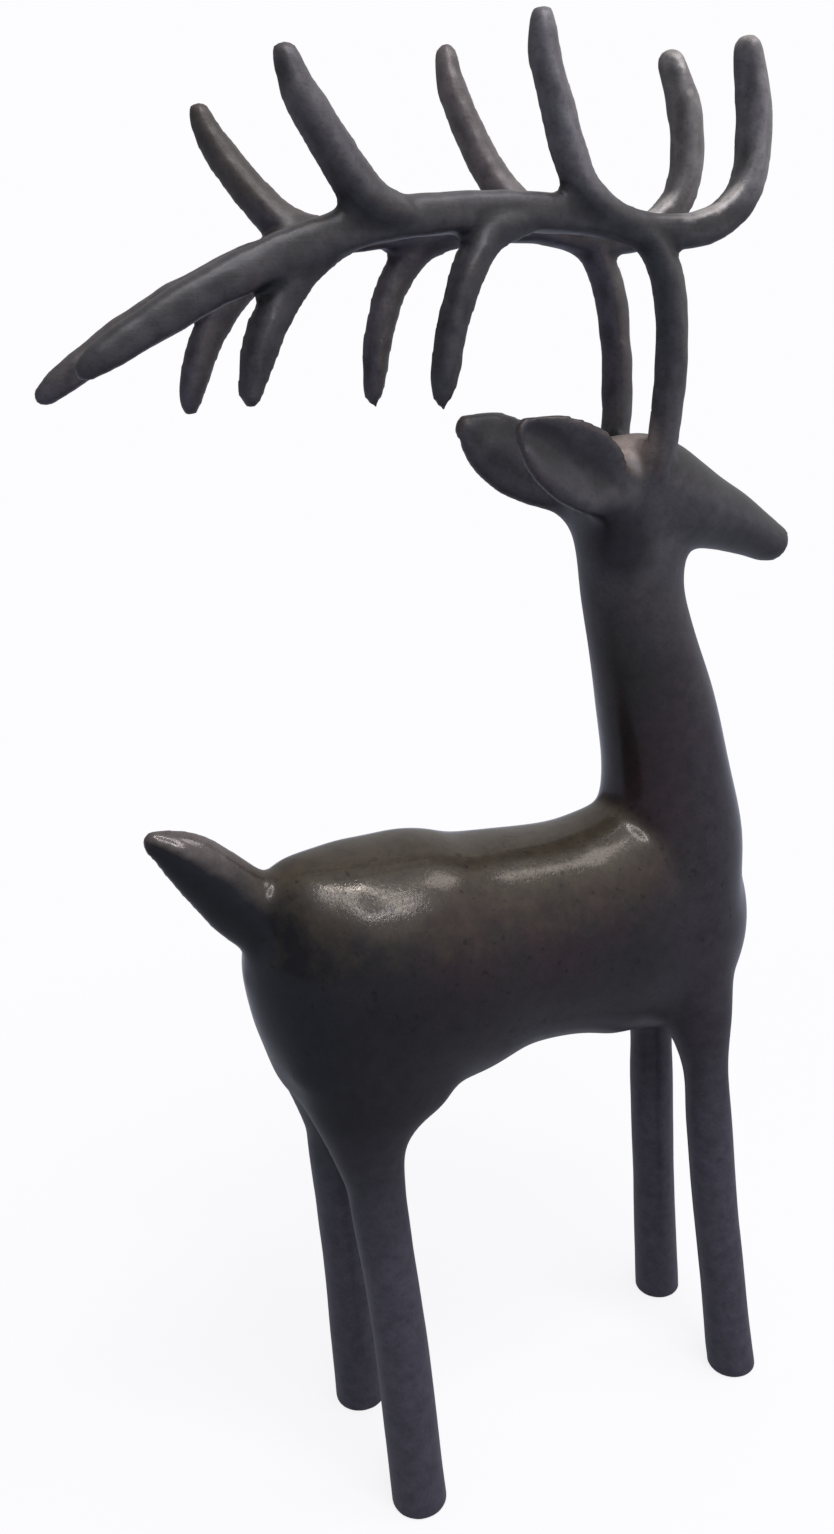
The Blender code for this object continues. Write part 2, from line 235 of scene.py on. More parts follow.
# Each row is a station: x, z, half width and half depth, in thousandths of the height.
trunk = [
    (-204, 445, 37, 53),
    (-191, 443, 51, 66.5),
    (-170, 435, 65, 79),
    (-130, 419.5, 75, 92.5),
    (-81, 409, 75.5, 93.5),
    (-30, 410.7, 69, 83.1),
    (20, 407.2, 65, 83),
    (70, 403, 61, 94),
    (104, 391, 57, 85),
    (128, 384, 54, 75),
    (146, 378, 46, 64),
]
haunches = [
    (-151, 430, 67, 74),
    (-149.5, 388, 68, 69.5),
    (-149, 362, 64, 62.5),
    (-146.5, 340, 57, 56),
    (-147, 320, 49, 46.5),
    (-151, 303, 41, 36),
]
neck = [
    (118, 352, 45, 56),
    (117, 388, 57, 60.5),
    (115, 422, 58, 54),
    (115.5, 466, 54.5, 55),
    (110.5, 522, 47.5, 46.5),
    (101, 570, 43, 44),
    (90, 616, 40, 38.5),
    (81.5, 654, 37, 36.5),
    (81.3, 684, 35, 40.6),
    (77.5, 706, 33, 40),
]
head = [
    (60, 725, 30, 34),
    (90, 722, 38, 38),
    (118, 711, 38, 33.3),
    (142, 702, 33, 26.8),
    (164, 693, 28, 22),
    (184, 683, 23.5, 17.8),
    (196, 676.5, 21, 15.6),
    (205, 673, muzzle_half, 13.6),
]

forms = [
    carried(in_middle(trunk), round_start=0.35, round_end=0.5),
    carried(in_middle(haunches), round_end=0.4),
    carried(in_middle(neck), round_start=0.4),
    carried(in_middle(head), round_end=0.0),
]
print("body forms:", len(forms), "with", sum(len(points) for points, faces in forms), "points")

# %% [markdown]
# The ears are leaves swept back along the head and hollowed on their outer face. The hollow has two slopes,
# a short steep one under the upper rim and a long flat one below it, which the eye reads as an ear with one
# dark edge. A strip under each ear fills the nook between its lower edge and the neck. The tail is a short
# rod that was pinched on top, so a soft ridge parts its lit side from its dark side.

# %% Ears and tail
EAR_HOLLOW_DEPTH = 0.0028
EAR_BACK, EAR_OUT, EAR_DOWN = 0.40, 0.12, 0.90
TAIL_PINCH = 0.07

# The tail's rows are as above. Those of the ears are x, the distance from the middle, z and half sizes.
ear = [
    (50, 27, 721, 18, 15),
    (34, 36, 733.5, 26, 13.5),
    (13, 41.5, 747, 27.5, 12),
    (-9.5, 42.5, 761.5, 21, 10),
    (-25, 41.5, 771, 9, 6.5),
]
ear_root = [
    (84, 17, 652, 10),
    (70, 17.5, 682, 13),
    (56, 20, 704, 13.5),
    (40, 27, 722, 11.5),
]
tail = [
    (-181.5, 452, 22, 26),
    (-210.2, 470.8, 21, 26.7),
    (-236, 501.5, 18, 23.3),
    (-258, 523.5, 13, 16.5),
    (-275, 536, 6, 8),
]

forms.append(carried(in_middle(tail), pinch=TAIL_PINCH))
for sign in SIDES.values():
    ear_width = (-EAR_BACK * sign, -EAR_OUT, -EAR_DOWN * sign)
    forms.append(carried(to_side(sign, ear), across=ear_width, dish=EAR_HOLLOW_DEPTH, top=-sign))
    forms.append(carried(to_side(sign, ear_root)))
print("with ears and tail:", len(forms), "forms")

# %% [markdown]
# The legs are straight rods that splay a little. Each starts inside the body as a thigh or a shoulder and
# runs on past the ground, so that the sole can be cut flat there later, as on the real casting. The thigh is
# broad where it leaves the haunches and thins quickly to the knee, which draws the arch under the belly.

# %% Legs
thigh = [
    (-144, 26, 420, 44, 62),
    (-145, 28, 366, 41, 64),
    (-148, 30, 343, 39, 61.8),
    (-154.8, 33, 323, 34, 46),
    (-158.5, 38, 299, 26, 28.5),
    (-156.5, 42, 272, 20.5, 21.5),
]
shoulder = [
    (119, 26, 370, 28, 34),
    (121.5, 33, 320, 26, 26.5),
    (126, 37.2, 275, 18.3, 17.5),
]
hind_shaft = [(11, 13.2, 245, 19.8), (5, 6.5, 150, 19.4)]
fore_shaft = [(16.5, 13.6, 220, 18), (9, 7.4, 110, 18)]


def leg(sole, sign, top, shaft, diameter):
    """A leg from inside the body to past the ground. The shaft's rows are (back from the sole, inwards
    from it, z, half size)."""
    x, y = sole[0], sole[1]
    foot = diameter / 2
    down = [
        (x - back * MILLE, y - sign * inwards * MILLE, z * MILLE, half * MILLE, half * MILLE)
        for back, inwards, z, half in shaft
    ]
    past = foot / down[-1][2]
    below = (x + (x - down[-1][0]) * past, y + (y - down[-1][1]) * past, -foot, foot, foot)
    return carried(to_side(sign, top) + down + [(x, y, 0.0, foot, foot), below], round_end=0.0)


for side_name, sign in SIDES.items():
    forms.append(leg(soles[f"hind_{side_name}_sole"], sign, thigh, hind_shaft, HIND_FOOT_DIAMETER))
    forms.append(leg(soles[f"fore_{side_name}_sole"], sign, shoulder, fore_shaft, FORE_FOOT_DIAMETER))
print("with the legs:", len(forms), "forms")

# %% [markdown]
# Each antler is six rods: a post that sweeps back into the beam, the beam with its hook in front, two tines
# up and two down. The left one was bent by hand after casting: its beam droops at the back, and its hook and
# front tine stand a little taller. The section is pinched, which leaves four soft ridges on each rod. They
# are turned the same way all along it, and on both antlers, because the light finds them from one side.

# %% Antlers
ANTLER_PINCH = 0.17
ROD_RIDGE = (0.27, 0.96, 0.0)
BEAM_RIDGE = (-0.25, -0.68, 0.68)
LEFT_BEAM_DROOP = 0.0072
LEFT_TINE_LIFT = 0.004
LEFT_HOOK_LIFT = 0.0012

post = [
    (82, 28.5, 735, 11.2),
    (88.2, 29.5, 763, 11.2),
    (91, 32, 800, 11.4),
    (90, 34, 830, 11.4),
    (85.4, 35, 857, 11.4),
    (72, 35, 880, 10.8),
    (50, 35, 890, 10.8),
    (15, 36, 895, 11),
]
beam = [
    (140, 40, 987.5, 10.4),
    (147, 37, 967, 12.2),
    (150, 35.8, 945, 12.2),
    (148.5, 35.4, 922, 12),
    (138.5, 35.6, 901, 12.2),
    (114, 35, 887, 12.8),
    (76, 34, 885, 12.2),
    (30, 35.5, 893.5, 12.2),
    (-40, 46, 896, 13.3),
    (-110, 56, 891.5, 13.3),
    (-160, 62, 880.5, 13.2),
    (-210, 66, 863, 12.8),
    (-250, 68, 844.5, 11.9),
    (-281, 69, 828, 10),
    (-294, 70, 820.5, 7.2),
]
upper_rear = [
    (-177.5, 80, 966, 7.4),
    (-170, 79, 948, 10.3),
    (-156, 76, 929, 11.6),
    (-142, 71, 911, 12.6),
    (-128, 66, 898.5, 13.4),
    (-100, 57, 892, 10),
]
upper_front = [
    (-17.6, 61.5, 993.5, 7.9),
    (-15.4, 59.5, 977, 10),
    (-7.2, 56.5, 954, 10.6),
    (3.8, 51.5, 930, 11.2),
    (18.6, 44, 908, 11.7),
    (40, 39, 895, 10.4),
    (66, 36, 887, 9.6),
]
lower_rear = [
    (-205.3, 65, 801.5, 6.6),
    (-201.4, 64.5, 817, 9.8),
    (-194, 63.5, 834, 10.8),
    (-183.8, 62, 850, 11.2),
    (-167, 60.5, 868, 10.8),
    (-141, 58, 883, 9.5),
]
lower_front = [
    (-85, 52.3, 789, 3.2),
    (-84.2, 52.6, 797, 7),
    (-81.6, 53.5, 813, 9.3),
    (-77.6, 54.5, 832, 10),
    (-71.4, 55, 850, 10.4),
    (-62.5, 54, 868, 11.2),
    (-46, 50.5, 885.5, 11.6),
    (-15, 45, 893, 9),
]
tines = (post, upper_rear, upper_front, lower_rear, lower_front)


def left_bend(x, z):
    """How much higher the left antler is at (x, z), in thousandths: its beam droops towards the back, its
    up tines are taller the further forward they stand, and its hook is lifted a little."""
    beam_foot, beam_level, above_beam, tine_tips = 870, 900, 950, 988
    beam_end, droop_start = -295, -110
    rear_tines, front_tines = -100, 20
    hook_start, hook_end = 55, 115
    droop_curve = 1.3
    along = np.clip((x - droop_start) / (beam_end - droop_start), 0, 1) ** droop_curve
    on_beam = 1 - ramp(z, beam_level, above_beam)
    up_tine = np.clip((z - beam_foot) / (tine_tips - beam_foot), 0, 1)
    ahead = np.clip((x - rear_tines) / (front_tines - rear_tines), 0, 1)
    in_front = np.clip((x - hook_start) / (hook_end - hook_start), 0, 1)
    lift = LEFT_TINE_LIFT * up_tine * ahead + LEFT_HOOK_LIFT * in_front * on_beam
    return (lift - LEFT_BEAM_DROOP * along * on_beam) / MILLE


for sign in SIDES.values():
    for rod, ridge in ((beam, BEAM_RIDGE), *((tine, ROD_RIDGE) for tine in tines)):
        if sign == SIDES["left"]:
            rod = [(x, y, z + left_bend(x, z), half) for x, y, z, half in rod]
        forms.append(carried(to_side(sign, rod), across=ridge, pinch=ANTLER_PINCH))
print("forms in all:", len(forms))

# %% [markdown]
# Wax forms pressed together have no seam. A boolean union would keep a hard line at each joint, and a voxel
# remesh doesn't: it keeps only the outside of all the forms, as one skin of small squares. The squares are
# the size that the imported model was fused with, so both skins are the same form.

# %% One skin
SQUARE = 3.2 * MILLE


def new_object(name, points, faces):
    """An object at the origin with its place in its mesh."""
    mesh = bpy.data.meshes.new(name)
    mesh.from_pydata(np.asarray(points).tolist(), [], faces)
    mesh.update()
    made = bpy.data.objects.new(name, mesh)
    bpy.context.scene.collection.objects.link(made)
    return made


def points_of(mesh):
    """The mesh's points as rows of x, y and z."""
    points = np.empty(len(mesh.vertices) * 3)
    mesh.vertices.foreach_get("co", points)
    return points.reshape(-1, 3)


starts = np.cumsum([0] + [len(points) for points, faces in forms])
all_points = np.vstack([points for points, faces in forms])
all_faces = [
    [int(start) + corner for corner in face]
    for start, (points, faces) in zip(starts, forms)
    for face in faces
]
pressed = new_object("pressed_forms", all_points, all_faces)
fuse = pressed.modifiers.new("fuse", "REMESH")
fuse.mode = "VOXEL"
fuse.voxel_size = SQUARE
fuse.adaptivity = 0.0
bpy.context.view_layer.update()
skin = bpy.data.meshes.new_from_object(pressed.evaluated_get(bpy.context.evaluated_depsgraph_get()))
bpy.data.objects.remove(pressed, do_unlink=True)
print("skin:", len(skin.vertices), "points,", len(skin.polygons), "squares")

# %% [markdown]
# The remesh leaves small steps and hard creases. On the wax, a thumb runs over each joint until it is a
# fillet, and most of all on the big soft forms. Here each point moves towards the mean of its neighbours:
# many times on the body, a few times on the antlers and legs. Then come rounds of one step in and a slightly
# longer step out, which take the small steps away and leave the thickness as it was.

# %% Smooth the joints
THUMB_PASSES = 70
SURFACE_PASSES = 3
THUMB_SHARE = 0.25
FAIR_ROUNDS = 8
STEP_IN, STEP_OUT = 0.50, -0.53

edges = np.empty(len(skin.edges) * 2, np.int32)
skin.edges.foreach_get("vertices", edges)
edges = edges.reshape(-1, 2)
near_end, far_end = np.r_[edges[:, 0], edges[:, 1]], np.r_[edges[:, 1], edges[:, 0]]
neighbours = np.bincount(near_end, minlength=len(skin.vertices)).astype(float)


def neighbour_mean(values):
    """The mean of each point's neighbours, for one column or several."""
    columns = values.reshape(len(values), -1).T
    sums = [np.bincount(near_end, column[far_end], len(values)) for column in columns]
    return (np.array(sums) / neighbours).T.reshape(values.shape)


def relax(values, share, passes):
    """Moves each value towards its neighbours' mean by `share` of the way, `passes` times."""
    for _ in range(passes):
        values = values + share * (neighbour_mean(values) - values)
    return values


def body_share(points):
    """1 on the big soft forms, and 0 on the legs, the tail, the head and the antlers."""
    x, z = (points[:, 0] - feet_ahead) / MILLE, points[:, 2] / MILLE
    legs_end, hips = 240, 310
    throat, crown = 698, 745
    under_jaw, jaw = 580, 630
    chest_front, mid_muzzle = 140, 170
    rump_end, mid_tail = -214, -244
    above_legs = ramp(z, legs_end, hips)
    below_head = 1 - ramp(z, throat, crown)
    off_muzzle = 1 - ramp(z, under_jaw, jaw) * ramp(x, chest_front, mid_muzzle)
    off_tail = 1 - ramp(x, rump_end, mid_tail)
    return above_legs * below_head * off_muzzle * off_tail


points = points_of(skin)
points = relax(points, THUMB_SHARE * body_share(points)[:, None], THUMB_PASSES)
points = relax(points, THUMB_SHARE, SURFACE_PASSES)
for _ in range(FAIR_ROUNDS):
    points = relax(points, STEP_IN, 1)
    points = relax(points, STEP_OUT, 1)
print("smoothed skin from", points.min(0).round(4), "to", points.max(0).round(4))

# %% [markdown]
# No hand-made surface is even. Broad waves of about a tenth of a millimetre, in many directions, make the
# highlights wander as they do on the real one, and the antlers have shorter and slightly stronger ones from
# the rolling and filing of the wax. A wave is the sine of the distance along one direction, and their sum
# looks random though it is the same each time.

# %% Uneven by hand
BODY_WAVE_MM, BODY_SWELL_MM = 34.0, 0.09
ANTLER_WAVE_MM, ANTLER_SWELL_MM = 11.0, 0.13
WAVES = 14
SHORTEST, LONGEST = 0.7, 1.6
random = np.random.default_rng(7)


def waves(points, length_mm, height_mm):
    """The sum of sine waves of about that length in random directions, scaled to about that height."""
    directions = unit(random.normal(size=(WAVES, 3)))
    turns = 2 * np.pi * 1000 / (length_mm * random.uniform(SHORTEST, LONGEST, WAVES))
    phases = random.uniform(0, 2 * np.pi, WAVES)
    heights = np.sin(points @ (directions * turns[:, None]).T + phases).sum(1)
    return heights * height_mm / 1000 / math.sqrt(WAVES / 2)


def normals_of(mesh):
    """The direction that each point's surface faces, as rows of length 1."""
    normals = np.empty(len(mesh.vertices) * 3)
    mesh.vertex_normals.foreach_get("vector", normals)
    return normals.reshape(-1, 3)


def put_points(mesh, points):
    """Moves the mesh's points to these rows."""
    mesh.vertices.foreach_set("co", np.ascontiguousarray(points, np.float32).ravel())
    mesh.update()


put_points(skin, points)
antler_level, antler_start = 780, 740
on_antlers = ramp(points[:, 2] / MILLE, antler_start, antler_level)
swell = (
    waves(points, BODY_WAVE_MM, BODY_SWELL_MM) * (1 - on_antlers)
    + waves(points, ANTLER_WAVE_MM, ANTLER_SWELL_MM) * on_antlers
)
sole_flat, sole_free = 0.002, 0.010
swell = swell * ramp(points[:, 2], sole_flat, sole_free)
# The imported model's box is the limit, but not below the ground, where the legs are still to be cut.
points = np.clip(points + swell[:, None] * normals_of(skin), casting_low - [0, 0, 1], casting_high)
print("swell up to", round(float(np.abs(swell).max() * 1000), 2), "mm")

# %% [markdown]
# Wear follows the relief: metal that stands proud is rubbed. A crease is darkened as painted shade, along
# with the dirt and wax that stay in it.
# How proud a point stands is its distance from a much smoother copy of the surface, measured along the
# normal. It is kept on the mesh as an attribute for the finish to read.

# %% How proud each point stands
PROUD_PASSES = 22
SOFTEN_PASSES = 2
LEVEL_PASSES = 70
HALFWAY = 0.5
PROUD_FULL_MM = 0.30

put_points(skin, points)
proud = ((points - relax(points, HALFWAY, PROUD_PASSES)) * normals_of(skin)).sum(1) * 1000 / PROUD_FULL_MM
proud = relax(proud, HALFWAY, SOFTEN_PASSES) - relax(proud, HALFWAY, LEVEL_PASSES)
print("proud from", round(float(proud.min()), 2), "to", round(float(proud.max()), 2))
kept = skin.attributes.new("proud", "FLOAT", "POINT")
kept.data.foreach_set("value", proud.astype(np.float32))

# %% [markdown]
# The soles are sawn off flat and their edge is broken with a file. A bevel would need a clean edge loop, and
# the remeshed skin has none. So planes cut the feet at the ground and at four levels just above it, and the
# rings that this leaves are drawn in along a quarter circle.

# %% Soles and their edges
EDGE_RADIUS = 0.0014
EDGE_LEVELS = (0.12, 0.38, 0.70, 1.0)

shell = bmesh.new()
shell.from_mesh(skin)
for level in (0.0,) + EDGE_LEVELS:
    everything = list(shell.verts) + list(shell.edges) + list(shell.faces)
    plane = {"plane_co": (0, 0, level * EDGE_RADIUS), "plane_no": (0, 0, 1)}
    bmesh.ops.bisect_plane(shell, geom=everything, clear_inner=level == 0, **plane)
open_edges = [edge for edge in shell.edges if edge.is_boundary]
bmesh.ops.holes_fill(shell, edges=open_edges, sides=0)
shell.to_mesh(skin)
shell.free()

points = points_of(skin)
centres = np.array([sole[:2] for sole in soles.values()])
offsets = points[:, None, :2] - centres
nearest = np.argmin((offsets**2).sum(-1), axis=1)
offset = offsets[np.arange(len(points)), nearest]
radius = np.linalg.norm(offset, axis=1)
rise = np.clip(EDGE_RADIUS - points[:, 2], 0, EDGE_RADIUS)
draw_in = EDGE_RADIUS - np.sqrt(EDGE_RADIUS**2 - rise**2)
points[:, :2] -= offset * (draw_in / np.maximum(radius, EDGE_RADIUS))[:, None]
put_points(skin, points)

skin.name = "reindeer_casting"
skin.polygons.foreach_set("use_smooth", np.ones(len(skin.polygons), bool))
casting = bpy.data.objects.new("reindeer_casting", skin)
bpy.context.scene.collection.objects.link(casting)
triangles = sum(len(polygon.vertices) - 2 for polygon in skin.polygons)
print("casting:", len(skin.vertices), "points, about", triangles, "triangles")

# %% [markdown]
# Colours are written as the eye meets them on a screen, in hex, and one function turns them into the linear
# values that light is reckoned in. A material is a web of nodes, and one more function adds a node together
# with its settings and its links. Everything else is tables of numbers and loops over them.

# %% Colours and nodes


def linear(colour):
    """A hex colour as linear light: below 0.04045 the value is divided by 12.92, above it follows the
    2.4 power curve."""
    values = [int(colour[k:k + 2], 16) / 255 for k in (0, 2, 4)]
    return tuple(v / 12.92 if v <= 0.04045 else ((v + 0.055) / 1.055) ** 2.4 for v in values) + (1.0,)


def add(tree, kind, inputs=None, **settings):
    """Adds a node. `settings` are its own properties. `inputs` are its sockets by name or number: a plain
    value is set, and another node's output is linked."""
    node = tree.nodes.new(kind)
    for name, value in settings.items():
        setattr(node, name, value)
    for socket, value in (inputs or {}).items():
        if isinstance(value, bpy.types.NodeSocket):
            tree.links.new(value, node.inputs[socket])
        else:
            node.inputs[socket].default_value = value
    return node


def per_metre(millimetres):
    """The scale that makes a texture's features about that size."""
    return 1000 / millimetres


print("middle grey 808080 is", round(linear("808080")[0], 3), "in linear light")

# %% [markdown]
# The finish is bronze with a hot brown patina under paste wax. The patina is a thin dark oxide, so the
# metal's own colour hardly shows, and the light it gives back is dim and brownish. It went on by brush and
# torch, which leaves soft borders. A painted picture could hold it, but a picture has seams and a fixed
# sharpness. So every zone is worked out where the light meets the metal, from what can be measured there:
# how high the spot is and how far ahead, which way it faces, how proud it stands, and how strong a pattern
# is. A brush pattern shifts the borders a little, as bristles do.
# Some zones that go by which way a spot faces, and two round spots, are painted light and shade.

# %% What the finish measures
patina = bpy.data.materials.new("waxed_brown_patina_on_bronze")
patina.use_nodes = True
tree = patina.node_tree
tree.nodes.clear()

place = add(tree, "ShaderNodeTexCoord").outputs["Object"]
spot = add(tree, "ShaderNodeSeparateXYZ", {0: place})
ahead, to_left, height = (spot.outputs[axis] for axis in "XYZ")
normal = add(tree, "ShaderNodeNewGeometry").outputs["Normal"]
faces_up = add(tree, "ShaderNodeSeparateXYZ", {0: normal}).outputs["Z"]
stands_proud = add(tree, "ShaderNodeAttribute", attribute_name="proud").outputs["Fac"]

# Each pattern: the size of its features in mm, how many finer layers it has, and how strong those are. The
# last three are finer on real bronze, and are drawn as coarse as they need to be to show.
patterns = {
    "clouds": (42.0, 4.0, 0.62),
    "brush": (9.0, 5.0, 0.62),
    "mottle": (5.0, 4.0, 0.65),
    "pits": (3.2, 1.0, 0.5),
    "specks": (1.4, 2.0, 0.6),
    "pores": (1.3, 2.0, 0.5),
    "skin": (0.8, 3.0, 0.5),
}
pattern = {}
for name, (size_mm, layers, strength) in patterns.items():
    grain = {"Vector": place, "Scale": per_metre(size_mm), "Detail": layers, "Roughness": strength}
    pattern[name] = add(tree, "ShaderNodeTexNoise", grain).outputs["Fac"]
print("patterns:", {name: row[0] for name, row in patterns.items()}, "mm")

# %% [markdown]
# Some measures are worked out from others. The brush pattern becomes a small push to either side, and is
# added to the way the surface faces, so that a border that follows the light side of a form is ragged. The
# distance to a place gives a round spot there: a painted shade on the neck below the ear, and the warm
# crown between the antlers, where hands rub, made lighter still as painted light.

# %% Measures made from others
BRUSH_PUSH = 0.16
# Antler rods are painted lighter on faces turned this way: painted light.
PAINTED_LIGHT_TOWARDS = (0.80, 0.0, 0.60)
# A painted highlight, with rubbed metal, on the hook's faces turned this way.
HOOK_HIGHLIGHT_TOWARDS = (-0.10, -0.50, 0.86)
# A round painted shade on the neck, below the ear.
NECK_SHADE, NECK_SHADE_REACH, NECK_SHADE_CORE = (0.047, -0.019, 0.346), 0.018, 0.6
# The crown is rubbed metal, made lighter still as painted light.
CROWN_WEAR_AND_LIGHT, CROWN_WEAR_AND_LIGHT_REACH, CROWN_WEAR_AND_LIGHT_CORE = (0.058, -0.005, 0.3765), 0.0155, 0.4

brushy = add(
    tree, "ShaderNodeMapRange", {0: pattern["brush"], 1: 0.30, 2: 0.70, 3: -BRUSH_PUSH, 4: BRUSH_PUSH}
).outputs[0]
towards = {}
for name, direction in (("painted light", PAINTED_LIGHT_TOWARDS), ("hook highlight", HOOK_HIGHLIGHT_TOWARDS)):
    faced = {0: normal, 1: direction}
    towards[name] = add(tree, "ShaderNodeVectorMath", faced, operation="DOT_PRODUCT").outputs["Value"]
brushed = {
    name: add(tree, "ShaderNodeMath", {0: measure, 1: brushy}, operation="ADD").outputs[0]
    for name, measure in (("up", faces_up), ("proud", stands_proud), *towards.items())
}
distance_to = {
    name: add(tree, "ShaderNodeVectorMath", {0: place, 1: centre}, operation="DISTANCE").outputs["Value"]
    for name, centre in (("painted neck shade", NECK_SHADE), ("crown", CROWN_WEAR_AND_LIGHT))
}
print("nodes so far:", len(tree.nodes))

# %% [markdown]
# A zone is one row here: what it is measured by, where it starts and where it is full. Between the two the
# share grows evenly, and past them it is held. Heights and distances are in metres, facings are 1 for square
# on and 0 for edge on, and patterns run from 0 to 1. A row whose start is the larger number grows downwards,
# backwards, or towards the middle of a round spot.

# %% Where each zone starts and where it is full
zones = {
    "plum clouds": (pattern["clouds"], 0.42, 0.58),
    "belly": (height, 0.235, 0.175),
    "chest": (ahead, 0.050, 0.080),
    "haunches": (ahead, -0.020, -0.075),
    "legs": (height, 0.165, 0.100),
    # Olive brown on faces that turn up: partly patina, partly painted light from above.
    "back": (brushed["up"], 0.25, 0.75),
    "tail": (ahead, -0.082, -0.094),
    "tail facing up": (faces_up, 0.15, 0.55),
    "head": (height, 0.300, 0.345),
    "head facing up": (faces_up, 0.10, 0.60),
    "antlers": (height, 0.385, 0.405),
    "left side": (to_left, 0.0, 0.012),
    "over the beam": (height, 0.449, 0.460),
    "hook": (ahead, 0.062, 0.080),
    "front tines": (ahead, -0.050, -0.010),
    # Painted light on the side of each antler rod that faces ahead and up.
    "painted light side": (brushed["painted light"], -0.55, 0.15),
    "hook highlight side": (brushed["hook highlight"], 0.68, 0.92),
    "painted neck shade": (distance_to["painted neck shade"], NECK_SHADE_REACH, NECK_SHADE_CORE * NECK_SHADE_REACH),
    "crown": (distance_to["crown"], CROWN_WEAR_AND_LIGHT_REACH, CROWN_WEAR_AND_LIGHT_CORE * CROWN_WEAR_AND_LIGHT_REACH),
    "over the legs": (height, 0.160, 0.205),
    "under the neck": (height, 0.310, 0.275),
    "down the legs": (height, 0.180, 0.150),
    "up the neck": (height, 0.250, 0.280),
}
share = {
    name: add(tree, "ShaderNodeMapRange", {0: measure, 1: start, 2: full}).outputs[0]
    for name, (measure, start, full) in zones.items()
}
for whole, first, second in (
    # Painted light on the tail's upper side.
    ("painted light on the tail", "tail", "tail facing up"),
    ("upper hook", "over the beam", "hook"),
    ("hook highlight and rub", "hook", "hook highlight side"),
    ("buffed", "over the legs", "under the neck"),
):
    both = {0: share[first], 1: share[second]}
    share[whole] = add(tree, "ShaderNodeMath", both, operation="MULTIPLY").outputs[0]
print("zones:", len(share))

# %% [markdown]
# Each antler rod has two tones, lit and shaded copies of one patina: the side that faces ahead and up is
# painted lighter, as painted light, and the other side darker, as painted shade. The right antler is a cool
# grey and the left one is warmer. The tines over the beam are lighter, those in front more so, and the hooks
# most: partly painted light from ahead, and partly rubbing, because the hooks stick out furthest. On top,
# the hooks carry a pale painted highlight mixed with rubbed metal.

# %% Painted light and shade on each antler rod
# The hook's painted highlight, mixed with its rubbed metal.
HOOK_HIGHLIGHT_AND_RUB = "98928f"
# Painted shade and painted light, for the rods, the rear tines over the beam, the front tines and the hook.
RIGHT_TONES = (("37373c", "3b393b"), ("4c4a4c", "545154"), ("5e5c60", "6a676b"), ("5c5a5d", "716e6f"))
LEFT_TONES = (("45414a", "4a4544"), ("48423f", "47413e"), ("635c5c", "625b5a"), ("656263", "6f6b6a"))

antler = []
for tones in (RIGHT_TONES, LEFT_TONES):
    tinted = []
    for dark, light in tones:
        two = {"Factor": share["painted light side"], 6: linear(dark), 7: linear(light)}
        tinted.append(add(tree, "ShaderNodeMix", two, data_type="RGBA").outputs[2])
    rods, rear_tines, front_tines, hook = tinted
    upper = {"Factor": share["front tines"], 6: rear_tines, 7: front_tines}
    upper_tines = add(tree, "ShaderNodeMix", upper, data_type="RGBA").outputs[2]
    for zone, over in (("over the beam", upper_tines), ("upper hook", hook)):
        laid_on = {"Factor": share[zone], 6: rods, 7: over}
        rods = add(tree, "ShaderNodeMix", laid_on, data_type="RGBA").outputs[2]
    antler.append(rods)
both_sides = {"Factor": share["left side"], 6: antler[0], 7: antler[1]}
antlers = add(tree, "ShaderNodeMix", both_sides, data_type="RGBA").outputs[2]
# Painted highlight and rubbing on the hook's upper faces.
hook_highlight_mix = {"Factor": share["hook highlight and rub"], 6: antlers, 7: linear(HOOK_HIGHLIGHT_AND_RUB)}
antlers = add(tree, "ShaderNodeMix", hook_highlight_mix, data_type="RGBA").outputs[2]
print("tones on the antlers:", sum(len(pair) for tones in (RIGHT_TONES, LEFT_TONES) for pair in tones))

# %% [markdown]
# Now the colours go on one over the other: brown all over with plum clouds, then grey under the belly and on
# the chest, black on the haunches, blue on the legs, and olive brown on faces that turn up, most of all the
# back, which is partly patina and partly painted light from above. The tail's upper side is lighter as
# painted light, the head is a cooler grey with a darker top as painted shade, and the antlers have their own
# tones. Wear comes last: where the metal stands proud the brown is rubbed, and then there are the painted
# shade on the neck and the warm crown, rubbed and lightened as painted light.

# %% Colours laid over one another
BROWN = "22201e"
WEAR_FROM, WEAR_TO, WEAR_MOST = 0.70, 1.80, 0.4

# The head is a cool grey, and its darker top is painted shade.
head_tones_and_painted_shade = {"Factor": share["head facing up"], 6: linear("403e42"), 7: linear("272527")}
head_grey_and_painted_shade = add(tree, "ShaderNodeMix", head_tones_and_painted_shade, data_type="RGBA").outputs[2]
share["wear"] = add(
    tree, "ShaderNodeMapRange", {0: brushed["proud"], 1: WEAR_FROM, 2: WEAR_TO, 3: 0.0, 4: WEAR_MOST}
).outputs[0]
coats = {
    "plum clouds": linear("2d1d20"),
    "belly": linear("242226"),
    "chest": linear("302b30"),
    "haunches": linear("141419"),
    "legs": linear("45424d"),
    # Olive brown on upward faces, partly painted top light.
    "back": linear("3d352a"),
    # The tail's upper side, lighter as painted light.
    "painted light on the tail": linear("58504f"),
    "head": head_grey_and_painted_shade,
    "antlers": antlers,
    "wear": linear("4b403c"),
    # The painted shade on the neck.
    "painted neck shade": linear("201e23"),
    # The crown: rubbed metal, lightened as painted light.
    "crown": linear("8a7c76"),
}
colour = linear(BROWN)
for zone, over in coats.items():
    laid_on = {"Factor": share[zone], 6: colour, 7: over}
    colour = add(tree, "ShaderNodeMix", laid_on, data_type="RGBA").outputs[2]
print("coats over the brown:", ", ".join(coats))

